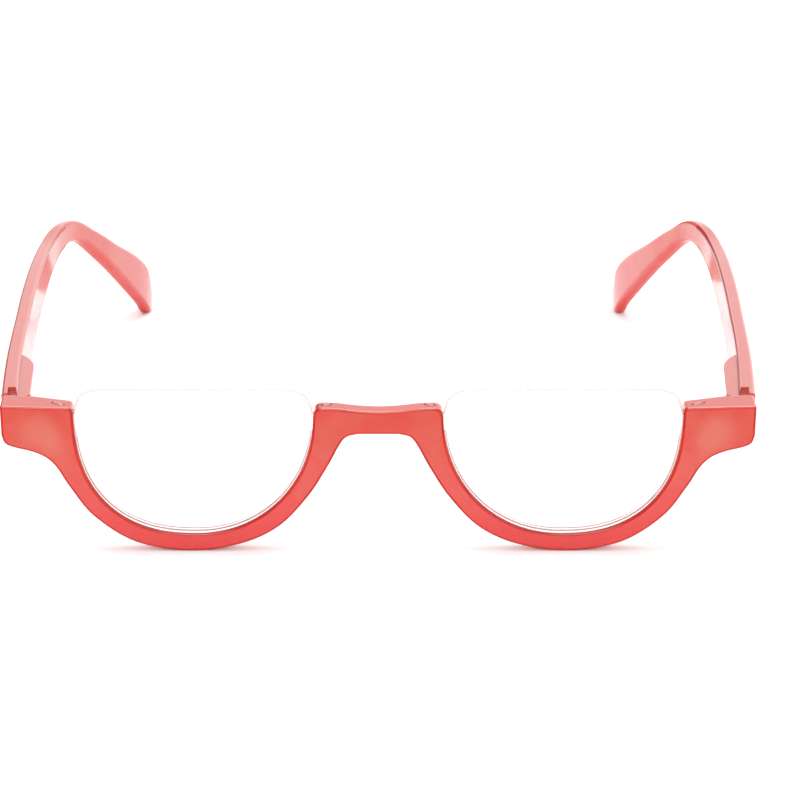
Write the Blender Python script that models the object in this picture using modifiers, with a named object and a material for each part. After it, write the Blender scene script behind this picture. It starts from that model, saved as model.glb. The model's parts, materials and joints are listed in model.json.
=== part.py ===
"""Folding half-moon reading glasses with spring hinges, open and resting on a table.

The world is in metres with +Z up. The table is Z = 0, the front looks along -Y and the temples run back along +Y.
The origin is on the table, in the middle of the open glasses.
Dimensions below are in millimetres. Side +1 is the wearer's left (+X) and side -1 the wearer's right (-X).

Three frames carry the parts:
    front frame    leans forward by FRONT_LEAN; X across, Y back from the front face, Z up along the front
    hinge frame    at the hinge pin, Z along the pin, raised at the back by TEMPLE_RISE
    temple frame   the hinge frame turned outward by TEMPLE_SPLAY; Y runs back along the temple
"""

import math

import bmesh
import bpy
from mathutils import Matrix, Vector

MM = 0.001
SIDE_NAMES = {1: "left", -1: "right"}

# ---- front: rims, bridge and endpieces ----
FRONT_FOOT = (0, -62.41, -0.03)  # in the world, the lower edge of the front face, midway between the rims
FRONT_LEAN = 6.0  # degrees, top towards the viewer
RIM_THICKNESS = 2.7
ENDPIECE_THICKNESS = 4.7
EDGE_ROUNDING = 0.5
LENS_CENTRE_X = 32.6
OPENING_HALF_WIDTH = 21.1
OPENING_TOP = 27.05  # height at which the opening's sides become straight
OPENING_DEPTH = 23.5
OUTER_POWER = 2.38  # superellipse powers of the opening's outer and inner halves
INNER_POWER = 2.04
OPENING_STEPS = 13
BRIDGE_TOP = [(-9.8, 28.95), (-7.3, 28.85), (-3.8, 28.4), (0, 28.2), (3.8, 28.4), (7.3, 28.85), (9.8, 28.95)]
BRIDGE_CORNER = [(10.8, 28.65), (11.3, 28.0)]
ENDPIECE_TOP = [(54.5, 29.0), (66.5, 29.35)]
UNDERSIDE = [
    (66.5, 23.4),
    (65.9, 21.8),
    (64.2, 21.0),
    (61.3, 20.2),
    (58.9, 19.0),
    (57.0, 16.9),
    (54.9, 13.0),
    (50.8, 7.0),
    (43.6, 1.8),
    (34.2, 0.0),
    (25.2, 1.25),
    (18.1, 4.8),
    (12.7, 10.9),
    (9.1, 17.0),
    (6.9, 21.4),
    (5.6, 23.1),
    (3.6, 23.7),
]
BACK_PROFILE = [(50.0, RIM_THICKNESS), (55.0, 3.35), (62.3, 4.8)]  # (x, back face) from rim to endpiece
NOSE_PAD_CENTRE = (11.7, 15.2)
NOSE_PAD_SIZE = (1.8, 1.3, 5.2)  # half sizes across, proud of the back face and along the rim
NOSE_PAD_TILT = 29.0

# ---- lenses, lower liners and upper cords ----
LENS_GAP = 0.12
LENS_BACK = 1.75  # depth of the flat back surface behind the front face
LENS_MIDDLE_THICKNESS = 2.05
LENS_FRONT_RADIUS = 333.0
LENS_BLANK_RADIUS = 27.0
LENS_CENTRE_Z = 18.0
LENS_OUTER_CORNER = [(53.58, 27.05), (53.35, 28.9), (52.3, 30.9), (50.2, 31.85), (47.5, 32.0)]
LENS_INNER_CORNER = [(17.0, 32.0), (14.6, 31.75), (12.7, 30.5), (11.9, 28.8), (11.62, 27.05)]
GROOVE_DEPTH = 1.2  # of the groove's centre line behind the front face
GROOVE_RADIUS = 0.34
LINER_RADIUS = 0.28
CORD_RADIUS = 0.22
CORD_CHANNEL_RADIUS = 0.30
# The cord's ends, as (x, y, z) from the blind hole over the loop and down the through hole to the lens.
ENDPIECE_ANCHOR = [
    (57.3, 2.0, 27.6),
    (57.3, 2.0, 28.9),
    (56.9, 1.85, 29.35),
    (55.9, 1.45, 29.35),
    (55.45, 1.3, 28.9),
    (55.4, 1.2, 28.0),
    (55.0, 1.2, 27.35),
    (54.3, 1.2, 27.05),
    (53.75, 1.2, 27.3),
    (53.45, 1.2, 28.2),
]
BRIDGE_ANCHOR = [
    (8.4, 1.6, 27.6),
    (8.4, 1.6, 28.8),
    (8.75, 1.5, 29.22),
    (9.5, 1.35, 29.22),
    (9.9, 1.25, 28.8),
    (9.95, 1.2, 28.0),
    (10.3, 1.2, 27.35),
    (10.95, 1.2, 27.05),
    (11.5, 1.2, 27.35),
    (11.8, 1.2, 28.2),
]

# ---- hinge, in the hinge frame: pin on Z, Y back ----
HINGE_POINT = (63.1, 4.1, 25.7)  # from the front's foot, on the pin's axis, midway along it
TEMPLE_RISE = 1.6  # degrees
TEMPLE_SPLAY = 3.0  # degrees
PIN_RADIUS = 0.6
PIN_HOLE_RADIUS = 0.7
KNUCKLE_RADIUS = 1.25
KNUCKLE_HALF_STACK = 2.45
SLIDER_EYE_RADIUS = 1.2
SLIDER_EYE_HALF_HEIGHT = 0.8
KNUCKLE_GAP = 0.15
LEAF_PLATE_HALF_WIDTH = 1.8
LEAF_WEB_HALF_WIDTH = 0.6
LEAF_PLATE_FRONT, LEAF_PLATE_BACK = -3.3, -2.6
LEAF_POCKET_GAP = 0.08
SCREW_HEAD_RADIUS, SCREW_HEAD_HEIGHT = 1.05, 0.4
SCREW_SLOT = (0.3, 0.2)  # width, depth

# ---- spring cartridge, in the temple frame along Y ----
BORE_RADIUS = 0.9
BORE_END = 14.5
ROD_RADIUS = 0.4
ROD_END = 13.4
BUSH_SPAN = (2.5, 4.0)
BUSH_RADIUS, BUSH_HOLE_RADIUS = 0.83, 0.5
NUT_SPAN = (12.0, 13.0)
NUT_RADIUS, NUT_HOLE_RADIUS = 0.78, 0.45
SPRING_MEAN_RADIUS = 0.65
SPRING_WIRE_RADIUS = 0.12
SPRING_TURNS = 8
SPRING_POINTS_PER_TURN = 8

# ---- temple, in the temple frame ----
# Stations along the temple: upper edge (y, z), lower edge (y, z), thickness at each edge, corner radius.
TEMPLE_STATIONS = [
    ((-3.5, 4.0), (-3.5, -4.0), 3.1, 3.1, 0.6),
    ((16.0, 4.0), (16.0, -3.9), 2.8, 3.1, 0.6),
    ((28.0, 4.0), (28.0, -3.5), 2.65, 3.1, 0.6),
    ((44.0, 4.0), (44.0, -2.9), 2.65, 3.15, 0.6),
    ((62.0, 3.9), (62.0, -2.2), 2.6, 3.15, 0.6),
    ((77.0, 3.6), (76.5, -1.4), 2.5, 3.0, 0.65),
    ((86.0, 3.9), (84.0, -0.7), 2.45, 2.8, 0.8),
    ((91.9, 2.6), (89.0, -0.9), 2.5, 2.7, 0.95),
    ((97.7, -1.6), (93.8, -3.2), 2.6, 2.7, 1.05),
    ((105.5, -7.5), (100.9, -10.1), 2.6, 2.6, 1.1),
    ((113.3, -12.75), (108.9, -18.1), 2.5, 2.5, 1.1),
    ((119.2, -17.7), (116.7, -25.7), 2.4, 2.4, 1.05),
    ((121.5, -21.8), (119.6, -28.75), 2.4, 2.4, 1.0),
    ((122.4, -24.0), (121.7, -29.1), 2.4, 2.4, 1.0),
]
# The outer face in plan: (y, x), where +x is outward.
TEMPLE_OUTER_FACE = [
    (-4, 3.75),
    (8, 3.98),
    (17, 4.0),
    (27, 3.8),
    (37, 3.5),
    (47, 3.25),
    (58, 2.75),
    (69, 2.0),
    (75, 1.35),
    (81, 0.35),
    (86, -1.1),
    (91, -3.0),
    (96, -5.6),
    (103, -9.4),
    (111, -13.1),
    (119, -16.3),
    (124, -17.3),
]
STATION_STEPS = 3
END_GAP = 0.3  # between the temple's end and the endpiece
END_RELIEF = [(64.6, 0.0), (70.0, 0.95)]  # (x, extra gap): the outer part slopes away so the temple can over-open
HOUSING_Z = (-2.9, 3.4)
HOUSING_INNER_X = -1.25
HOUSING_REAR = [(-1.25, 11.5), (-1.05, 13.8), (-0.2, 15.9), (1.0, 17.7), (2.6, 18.4)]
HOUSING_CORNER_RADIUS = 1.6
HOUSING_ROUNDING = 0.35
NICHE_X = (-4.0, 1.45)
NICHE_Y = (-4.5, 1.55)
NICHE_Z = (-6.0, 2.65)
NOTCH = [(0.9, -3.5), (2.7, -3.5), (2.7, 1.1), (1.35, 1.1), (0.9, -2.0)]  # in plan
NOTCH_DEPTH = 1.1


# ---------------------------------------------------------------- scene helpers


def clear_scene():
    for old in list(bpy.data.objects):
        bpy.data.objects.remove(old, do_unlink=True)


def new_collection(name):
    collection = bpy.data.collections.new(name)
    bpy.context.scene.collection.children.link(collection)
    return collection


def new_material(name, colour, roughness, metallic=0.0, transmission=0.0):
    material = bpy.data.materials.new(name)
    material.use_nodes = True
    shader = material.node_tree.nodes["Principled BSDF"]
    shader.inputs["Base Color"].default_value = (*colour, 1.0)
    shader.inputs["Roughness"].default_value = roughness
    shader.inputs["Metallic"].default_value = metallic
    shader.inputs["Transmission Weight"].default_value = transmission
    return material


def new_empty(name, parent=None, location=(0, 0, 0), rotation=(0, 0, 0)):
    """An empty that carries parts; location in millimetres, rotation in degrees."""
    empty = bpy.data.objects.new(name, None)
    bpy.context.scene.collection.objects.link(empty)
    empty.parent = parent
    empty.location = Vector(location) * MM
    empty.rotation_euler = [math.radians(angle) for angle in rotation]
    return empty


def add_part(name, mesh, parent, colour_of, smooth_angle=35.0):
    """A node of the object, with its own copy of a material."""
    part = bpy.data.objects.new(name, mesh)
    PARTS.objects.link(part)
    part.parent = parent
    mesh.materials.clear()
    mesh.materials.append(new_material(f"{name} material", **colour_of))
    mesh.shade_smooth()
    mesh.set_sharp_from_angle(angle=math.radians(smooth_angle))
    return part


def add_cutter(name, mesh, parent):
    """A solid that only shapes others."""
    cutter = bpy.data.objects.new(name, mesh)
    CUTTERS.objects.link(cutter)
    cutter.parent = parent
    cutter.hide_render = True
    cutter.display_type = "WIRE"
    return cutter


def boolean(target, operation, other):
    modifier = target.modifiers.new(f"{operation} {other.name}", "BOOLEAN")
    modifier.operation = operation
    modifier.object = other


def bevel(target, width, segments=2, angle=40.0):
    modifier = target.modifiers.new("rounding", "BEVEL")
    modifier.width = width * MM
    modifier.segments = segments
    modifier.limit_method = "ANGLE"
    modifier.angle_limit = math.radians(angle)


# ---------------------------------------------------------------- meshes


def mesh_of_curve(curve, flat=False):
    """The curve as a closed mesh, its caps welded to its sides; a flat one gets each cap as a single face."""
    holder = bpy.data.objects.new("curve", curve)
    bpy.context.scene.collection.objects.link(holder)
    evaluated = holder.evaluated_get(bpy.context.evaluated_depsgraph_get())
    mesh = bpy.data.meshes.new_from_object(evaluated)
    welded = bmesh.new()
    welded.from_mesh(mesh)
    bmesh.ops.remove_doubles(welded, verts=welded.verts, dist=0.002 * MM)
    if flat:
        bmesh.ops.dissolve_limit(welded, angle_limit=0.001, verts=welded.verts, edges=welded.edges)
    bmesh.ops.recalc_face_normals(welded, faces=welded.faces)
    welded.to_mesh(mesh)
    welded.free()
    bpy.data.objects.remove(holder)
    bpy.data.curves.remove(curve)
    return mesh


def fill_spline(curve, points, closed):
    spline = curve.splines.new("POLY")
    spline.points.add(len(points) - 1)
    for target, point in zip(spline.points, points):
        target.co = (*(Vector(point).to_3d() * MM), 1.0)
    spline.use_cyclic_u = closed


def plate_mesh(outline, low, high, upright=False):
    """A flat outline with thickness: in XY between two heights, or upright in XZ between two depths."""
    curve = bpy.data.curves.new("outline", "CURVE")
    curve.dimensions = "2D"
    curve.fill_mode = "BOTH"
    curve.extrude = (high - low) / 2 * MM
    fill_spline(curve, outline, closed=True)
    mesh = mesh_of_curve(curve, flat=True)
    middle = (low + high) / 2 * MM
    if upright:
        mesh.transform(Matrix.Translation((0, middle, 0)) @ Matrix.Rotation(math.pi / 2, 4, "X"))
    else:
        mesh.transform(Matrix.Translation((0, 0, middle)))
    return mesh


def tube_mesh(points, radius, closed=False, resolution=1):
    curve = bpy.data.curves.new("tube", "CURVE")
    curve.dimensions = "3D"
    curve.bevel_depth = radius * MM
    curve.bevel_resolution = resolution
    curve.use_fill_caps = True
    fill_spline(curve, points, closed)
    return mesh_of_curve(curve)


def box_mesh(x_span, y_span, z_span):
    spans = (x_span, y_span, z_span)
    solid = bmesh.new()
    bmesh.ops.create_cube(solid, size=1.0)
    size = Matrix.Diagonal([(high - low) * MM for low, high in spans]).to_4x4()
    middle = Matrix.Translation([(low + high) / 2 * MM for low, high in spans])
    bmesh.ops.transform(solid, matrix=middle @ size, verts=solid.verts)
    return to_mesh(solid)


def cylinder_mesh(radius, low, high, axis="Z", segments=20):
    solid = bmesh.new()
    bmesh.ops.create_cone(
        solid,
        cap_ends=True,
        segments=segments,
        radius1=radius * MM,
        radius2=radius * MM,
        depth=(high - low) * MM,
    )
    move = Matrix.Translation((0, 0, (low + high) / 2 * MM))
    turn = Matrix.Rotation(-math.pi / 2, 4, "X") if axis == "Y" else Matrix.Identity(4)
    bmesh.ops.transform(solid, matrix=turn @ move, verts=solid.verts)
    return to_mesh(solid)


def profile_mesh(points, closed):
    """A profile in XZ for a Screw modifier; at +X it runs from top to bottom."""
    mesh = bpy.data.meshes.new("profile")
    edges = [(index, index + 1) for index in range(len(points) - 1)]
    if closed:
        edges.append((len(points) - 1, 0))
    mesh.from_pydata([(x * MM, 0, z * MM) for x, z in points], edges, [])
    return mesh


def turn_profile(target, steps):
    modifier = target.modifiers.new("turned", "SCREW")
    modifier.steps = steps
    modifier.render_steps = steps
    modifier.use_merge_vertices = True
    modifier.merge_threshold = 0.001 * MM


def to_mesh(solid):
    mesh = bpy.data.meshes.new("solid")
    bmesh.ops.recalc_face_normals(solid, faces=solid.faces)
    solid.to_mesh(mesh)
    solid.free()
    return mesh


def loft_mesh(rings):
    """Skin over rings of equal point counts, closed by a cap at each end."""
    solid = bmesh.new()
    loops = [[solid.verts.new(Vector(point) * MM) for point in ring] for ring in rings]
    for here, after in zip(loops, loops[1:]):
        for index in range(len(here)):
            following = (index + 1) % len(here)
            solid.faces.new((here[index], here[following], after[following], after[index]))
    solid.faces.new(loops[0])
    solid.faces.new(loops[-1])
    return to_mesh(solid)


# ---------------------------------------------------------------- outlines


def smooth_path(knots, steps):
    """Catmull-Rom curve through the knots, with this many points for each span."""
    points = [Vector(knot) for knot in knots]
    before = points[0] * 2 - points[1]
    after = points[-1] * 2 - points[-2]
    padded = [before, *points, after]
    path = []
    for a, b, c, d in zip(padded, padded[1:], padded[2:], padded[3:]):
        for step in range(steps):
            t = step / steps
            path.append(
                0.5 * (2 * b + (c - a) * t + (2 * a - 5 * b + 4 * c - d) * t**2 + (3 * b - a - 3 * c + d) * t**3)
            )
    return path + [points[-1]]


def interpolate(knots, at):
    """Smooth value at a position, from (position, value) knots in rising order."""
    last = len(knots) - 1
    index = max(i for i in range(last) if knots[i][0] <= at or i == 0)
    (y1, x1), (y2, x2) = knots[index], knots[index + 1]
    y0, x0 = knots[max(index - 1, 0)]
    y3, x3 = knots[min(index + 2, last)]
    slope1, slope2 = (x2 - x0) / (y2 - y0), (x3 - x1) / (y3 - y1)
    span = y2 - y1
    t = min(max((at - y1) / span, 0), 1)
    blend1, blend2 = (1 + 2 * t) * (1 - t) ** 2, t * t * (3 - 2 * t)
    value = blend1 * x1 + blend2 * x2 + span * (t * (1 - t) ** 2 * slope1 - t * t * (1 - t) * slope2)
    beyond = at - y2 if at > y2 else min(at - y1, 0)
    return value + beyond * (slope2 if at > y2 else slope1)


def half_moon(inset=0.0):
    """The opening's lower edge, from the top of the bridge side round the bottom to the endpiece side."""
    width, depth = OPENING_HALF_WIDTH - inset, OPENING_DEPTH - inset
    points = []
    for side, power, steps in (
        (-1, INNER_POWER, range(OPENING_STEPS + 1)),
        (1, OUTER_POWER, range(OPENING_STEPS - 1, -1, -1)),
    ):
        for step in steps:
            angle = step / OPENING_STEPS * math.pi / 2
            across = width * max(math.cos(angle), 0) ** (2 / power)
            down = depth * math.sin(angle) ** (2 / power)
            points.append((LENS_CENTRE_X + side * across, OPENING_TOP - down))
    return points


def mirrored(points, side):
    """The points on the given side; the third coordinate, if any, is kept."""
    return [(point[0] * side, *point[1:]) for point in points]


def front_outline():
    half = BRIDGE_CORNER + half_moon() + ENDPIECE_TOP + [tuple(p) for p in smooth_path(UNDERSIDE, 3)]
    bridge = [tuple(p) for p in smooth_path(BRIDGE_TOP, 2)]
    return bridge + half + mirrored(half[::-1], -1)


def lens_outline():
    outer = [tuple(p) for p in smooth_path(LENS_OUTER_CORNER, 2)]
    inner = [tuple(p) for p in smooth_path(LENS_INNER_CORNER, 2)]
    return half_moon(LENS_GAP) + outer[1:] + inner[:-1]


def at_groove(points, side):
    """(x, z) points of the front placed at the groove's depth."""
    return [(x * side, GROOVE_DEPTH, z) for x, z in points]


# ---------------------------------------------------------------- the front and its lenses


def make_front(frame):
    front = add_part("front_frame", plate_mesh(front_outline(), 0, ENDPIECE_THICKNESS, upright=True), frame, CORAL)
    back = BACK_PROFILE + [(BACK_PROFILE[-1][0], 7.0)]
    relief = plate_mesh(mirrored(back[::-1], -1) + back, -3, 35)
    boolean(front, "DIFFERENCE", add_cutter("back_relief", relief, frame))
    bevel(front, EDGE_ROUNDING)
    for side, label in SIDE_NAMES.items():
        boolean(front, "UNION", make_nose_pad(side, label, frame))
    return front


def make_nose_pad(side, label, frame):
    solid = bmesh.new()
    bmesh.ops.create_uvsphere(solid, u_segments=14, v_segments=8, radius=MM)
    size = Matrix.Diagonal(NOSE_PAD_SIZE).to_4x4()
    tilt = Matrix.Rotation(math.radians(-NOSE_PAD_TILT * side), 4, "Y")
    x, z = NOSE_PAD_CENTRE
    place = Matrix.Translation(Vector((x * side, RIM_THICKNESS - 0.1, z)) * MM)
    bmesh.ops.transform(solid, matrix=place @ tilt @ size, verts=solid.verts)
    return add_cutter(f"nose_pad_{label}", to_mesh(solid), frame)


def make_lens(side, label, frame):
    arc_steps = 6
    curve_drop = lambda r: r * r / (2 * LENS_FRONT_RADIUS)
    arc = [LENS_BLANK_RADIUS * step / arc_steps for step in range(arc_steps + 1)]
    profile = [(r, LENS_MIDDLE_THICKNESS - curve_drop(r)) for r in arc]
    profile += [(LENS_BLANK_RADIUS, 0), (0, 0)]
    lens = add_part(f"lens_{label}", profile_mesh(profile, closed=False), frame, GLASS)
    lens.location = Vector((LENS_CENTRE_X * side, LENS_BACK, LENS_CENTRE_Z)) * MM
    lens.rotation_euler.x = math.pi / 2
    turn_profile(lens, 40)
    outline = mirrored(lens_outline(), side)
    boolean(lens, "INTERSECT", add_cutter(f"lens_edge_{label}", plate_mesh(outline, -4, 6, upright=True), frame))
    groove = tube_mesh(at_groove(lens_outline(), side), GROOVE_RADIUS, closed=True)
    boolean(lens, "DIFFERENCE", add_cutter(f"lens_groove_{label}", groove, frame))


def make_liner(side, label, frame, front):
    """Nylon bead between the rim's groove and the lens's groove."""
    path = at_groove(half_moon(LENS_GAP), side)
    add_part(f"lens_liner_{label}", tube_mesh(path[1:-1], LINER_RADIUS), frame, NYLON)
    groove = tube_mesh(path, GROOVE_RADIUS)
    boolean(front, "DIFFERENCE", add_cutter(f"rim_groove_{label}", groove, frame))


def make_cord(side, label, frame, front):
    """Nylon cord over the lens's open edge, each end looped through two holes."""
    outer = at_groove([tuple(p) for p in smooth_path(LENS_OUTER_CORNER[1:], 2)], side)
    inner = at_groove([tuple(p) for p in smooth_path(LENS_INNER_CORNER[:-1], 2)], side)
    ends = []
    for place, knots in (("endpiece", ENDPIECE_ANCHOR), ("bridge", BRIDGE_ANCHOR)):
        path = [tuple(p) for p in smooth_path(mirrored(knots, side), 2)]
        channel = tube_mesh(path, CORD_CHANNEL_RADIUS)
        boolean(front, "DIFFERENCE", add_cutter(f"cord_channel_{place}_{label}", channel, frame))
        ends.append(path[1:])
    path = ends[0] + outer + inner + ends[1][::-1]
    add_part(f"lens_cord_{label}", tube_mesh(path, CORD_RADIUS), frame, NYLON)


# ---------------------------------------------------------------- the hinge


def arc_points(radius, start, end, steps):
    """Points of an arc about the pin, angles in degrees from +X towards +Y."""
    angles = [math.radians(start + (end - start) * step / steps) for step in range(steps + 1)]
    return [(radius * math.cos(angle), radius * math.sin(angle)) for angle in angles]


def leaf_outline(gap=0.0):
    """Plan of the leaf's buried plate and its web, up to the pin."""
    plate, web = LEAF_PLATE_HALF_WIDTH + gap, LEAF_WEB_HALF_WIDTH + gap
    front, back = LEAF_PLATE_FRONT - gap, LEAF_PLATE_BACK + gap
    return [(-plate, front), (plate, front), (plate, back), (web, back)], [(-web, back), (-plate, back)]


def make_hinge_leaf(side, label, frame, front):
    """Two knuckles on a web whose plate is moulded into the endpiece."""
    right_half, left_half = leaf_outline()
    web_angle = math.degrees(math.asin(LEAF_WEB_HALF_WIDTH / KNUCKLE_RADIUS))
    knuckle = arc_points(KNUCKLE_RADIUS, -90 + web_angle, 270 - web_angle, 18)
    outline = right_half + knuckle + left_half
    leaf_mesh = plate_mesh(outline, -KNUCKLE_HALF_STACK, KNUCKLE_HALF_STACK)
    leaf = add_part(f"hinge_leaf_{label}", leaf_mesh, frame, STEEL)
    slot_half = SLIDER_EYE_HALF_HEIGHT + KNUCKLE_GAP
    slot = box_mesh((-3, 3), (-1.5, 3), (-slot_half, slot_half))
    boolean(leaf, "DIFFERENCE", add_cutter(f"leaf_slot_{label}", slot, frame))
    hole = add_cutter(f"pin_hole_{label}", cylinder_mesh(PIN_HOLE_RADIUS, -4, 4), frame)
    boolean(leaf, "DIFFERENCE", hole)
    right_half, left_half = leaf_outline(LEAF_POCKET_GAP)
    web = LEAF_WEB_HALF_WIDTH + LEAF_POCKET_GAP
    pocket_outline = right_half + [(web, 0), (-web, 0)] + left_half
    half_height = KNUCKLE_HALF_STACK + LEAF_POCKET_GAP
    pocket = plate_mesh(pocket_outline, -half_height, half_height)
    boolean(front, "DIFFERENCE", add_cutter(f"leaf_pocket_{label}", pocket, frame))
    return hole


def make_hinge_screw(label, frame):
    """Pin with a slotted head below the lower knuckle."""
    head_top = -KNUCKLE_HALF_STACK - 0.1
    head_bottom = head_top - SCREW_HEAD_HEIGHT
    profile = [
        (0, KNUCKLE_HALF_STACK),
        (PIN_RADIUS, KNUCKLE_HALF_STACK),
        (PIN_RADIUS, head_top),
        (SCREW_HEAD_RADIUS, head_top),
        (SCREW_HEAD_RADIUS, head_bottom),
        (0, head_bottom),
    ]
    screw = add_part(f"hinge_screw_{label}", profile_mesh(profile, closed=False), frame, STEEL)
    turn_profile(screw, 20)
    width, depth = SCREW_SLOT
    slot = box_mesh((-2, 2), (-width / 2, width / 2), (head_bottom - 1, head_bottom + depth))
    boolean(screw, "DIFFERENCE", add_cutter(f"screw_slot_{label}", slot, frame))


def make_slider(label, frame, pin_hole):
    """Middle knuckle, neck and pull rod in one."""
    neck = 0.45
    neck_end = 1.4
    neck_angle = math.degrees(math.asin(neck / SLIDER_EYE_RADIUS))
    eye = arc_points(SLIDER_EYE_RADIUS, 90 + neck_angle, 450 - neck_angle, 18)
    outline = eye + [(neck, neck_end), (-neck, neck_end)]
    mesh = plate_mesh(outline, -SLIDER_EYE_HALF_HEIGHT, SLIDER_EYE_HALF_HEIGHT)
    slider = add_part(f"spring_slider_{label}", mesh, frame, STEEL)
    boolean(slider, "DIFFERENCE", pin_hole)
    rod = cylinder_mesh(ROD_RADIUS, neck_end - 0.4, ROD_END, "Y", 12)
    boolean(slider, "UNION", add_cutter(f"slider_rod_{label}", rod, frame))


def make_ring(name, outer, inner, span, frame, colour_of):
    """A turned ring around the rod."""
    low, high = span
    profile = [(outer, high), (outer, low), (inner, low), (inner, high)]
    ring = add_part(name, profile_mesh(profile, closed=True), frame, colour_of)
    ring.rotation_euler.x = -math.pi / 2
    turn_profile(ring, 16)


def make_spring(label, frame):
    start = BUSH_SPAN[1] + SPRING_WIRE_RADIUS + 0.05
    end = NUT_SPAN[0] - SPRING_WIRE_RADIUS - 0.05
    count = SPRING_TURNS * SPRING_POINTS_PER_TURN
    path = []
    for step in range(count + 1):
        angle = 2 * math.pi * step / SPRING_POINTS_PER_TURN
        along = start + (end - start) * step / count
        path.append((SPRING_MEAN_RADIUS * math.cos(angle), along, SPRING_MEAN_RADIUS * math.sin(angle)))
    add_part(f"hinge_spring_{label}", tube_mesh(path, SPRING_WIRE_RADIUS, resolution=1), frame, STEEL)


# ---------------------------------------------------------------- the temple


def temple_ring(upper, lower, section, side, shrink=0.0):
    """Rounded ring between two edges, on the bowed outer face: thickness at each edge and corner radius."""
    upper, lower = Vector(upper), Vector(lower)
    height = (upper - lower).length
    along = (upper - lower) / height
    upper_width, lower_width, radius = section
    middle = (upper_width + lower_width) / 2
    flare = (upper_width - lower_width) / middle / height
    half, depth = height / 2 - shrink, middle - 2 * shrink
    radius = min(radius, depth / 2 - 0.05)
    corners = [
        (-half + radius, radius, 180),
        (-half + radius, depth - radius, 90),
        (half - radius, depth - radius, 0),
        (half - radius, radius, -90),
    ]
    ring = []
    for centre_p, centre_q, start in corners:
        for step in range(3):
            angle = math.radians(start + 45 - 45 * step + 45)
            p = centre_p + radius * math.cos(angle)
            q = (centre_q + radius * math.sin(angle) + shrink) * (1 + flare * p)
            y, z = (upper + lower) / 2 + along * p
            slope = interpolate(TEMPLE_OUTER_FACE, y + 0.5) - interpolate(TEMPLE_OUTER_FACE, y - 0.5)
            x = interpolate(TEMPLE_OUTER_FACE, y) - q * math.hypot(1, slope)
            ring.append((x * side, y, z))
    return ring


def temple_loft(side):
    uppers = smooth_path([station[0] for station in TEMPLE_STATIONS], STATION_STEPS)
    lowers = smooth_path([station[1] for station in TEMPLE_STATIONS], STATION_STEPS)
    sections = smooth_path([station[2:] for station in TEMPLE_STATIONS], STATION_STEPS)
    rings = [temple_ring(*edges, side) for edges in zip(uppers, lowers, sections)]
    step = Vector((0.3, 0))
    rings.append(temple_ring(uppers[-1] + step, lowers[-1] + step, sections[-1], side, 0.45))
    return loft_mesh(rings)


def housing_outline():
    """Plan of the block that holds the spring cartridge, its front inner corner rounded about the pin."""
    reach = math.degrees(math.acos(HOUSING_INNER_X / HOUSING_CORNER_RADIUS))
    corner = arc_points(HOUSING_CORNER_RADIUS, -reach, -90, 5)
    rear = [tuple(p) for p in smooth_path(HOUSING_REAR, 3)]
    return corner + [(0.2, -3.4), (2.6, -3.4)] + rear[::-1]


def make_temple(side, label, frame, front_frame_empty):
    temple = add_part(f"temple_{label}", temple_loft(side), frame, CORAL)
    block = plate_mesh(mirrored(housing_outline(), side), *HOUSING_Z)
    housing = add_cutter(f"spring_housing_{label}", block, frame)
    bevel(housing, HOUSING_ROUNDING)
    boolean(temple, "UNION", housing)
    x_span = sorted(x * side for x in NICHE_X)
    niche = add_cutter(f"knuckle_niche_{label}", box_mesh(x_span, NICHE_Y, NICHE_Z), frame)
    boolean(temple, "DIFFERENCE", niche)
    bore = add_cutter(f"spring_bore_{label}", cylinder_mesh(BORE_RADIUS, 1.0, BORE_END, "Y", 16), frame)
    boolean(temple, "DIFFERENCE", bore)
    top = TEMPLE_STATIONS[0][0][1]
    notch = plate_mesh(mirrored(NOTCH, side), top - NOTCH_DEPTH, top + 2)
    boolean(temple, "DIFFERENCE", add_cutter(f"end_notch_{label}", notch, frame))
    end = ENDPIECE_THICKNESS + END_GAP
    relieved = [(x, end + extra) for x, extra in END_RELIEF]
    end_trim = plate_mesh(mirrored([(50, -8), (70, -8), *relieved[::-1], (50, end)], side), 10, 42)
    boolean(temple, "DIFFERENCE", add_cutter(f"end_trim_{label}", end_trim, front_frame_empty))


# ---------------------------------------------------------------- the whole

clear_scene()
PARTS = new_collection("Reading glasses")
CUTTERS = new_collection("Cutters")
CORAL = {"colour": (0.84, 0.12, 0.09), "roughness": 0.18}
GLASS = {"colour": (0.95, 0.97, 0.98), "roughness": 0.02, "transmission": 1.0}
NYLON = {"colour": (0.9, 0.9, 0.88), "roughness": 0.3, "transmission": 0.6}
STEEL = {"colour": (0.62, 0.61, 0.6), "roughness": 0.3, "metallic": 1.0}

foot_empty = new_empty("foot axes", location=FRONT_FOOT)
front_empty = new_empty("front axes", parent=foot_empty, rotation=(FRONT_LEAN, 0, 0))
front_part = make_front(front_empty)
for side_sign, side_label in SIDE_NAMES.items():
    make_lens(side_sign, side_label, front_empty)
    make_liner(side_sign, side_label, front_empty, front_part)
    make_cord(side_sign, side_label, front_empty, front_part)
    pin_x, pin_y, pin_z = HINGE_POINT
    pin_point = (pin_x * side_sign, pin_y, pin_z)
    hinge_empty = new_empty(f"hinge axes {side_label}", foot_empty, pin_point, (TEMPLE_RISE, 0, 0))
    splay = (0, 0, -TEMPLE_SPLAY * side_sign)
    temple_empty = new_empty(f"temple axes {side_label}", hinge_empty, rotation=splay)
    leaf_hole = make_hinge_leaf(side_sign, side_label, hinge_empty, front_part)
    make_hinge_screw(side_label, hinge_empty)
    make_slider(side_label, temple_empty, leaf_hole)
    make_ring(f"spring_bush_{side_label}", BUSH_RADIUS, BUSH_HOLE_RADIUS, BUSH_SPAN, temple_empty, STEEL)
    make_ring(f"spring_nut_{side_label}", NUT_RADIUS, NUT_HOLE_RADIUS, NUT_SPAN, temple_empty, STEEL)
    make_spring(side_label, temple_empty)
    make_temple(side_sign, side_label, temple_empty, front_empty)
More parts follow.
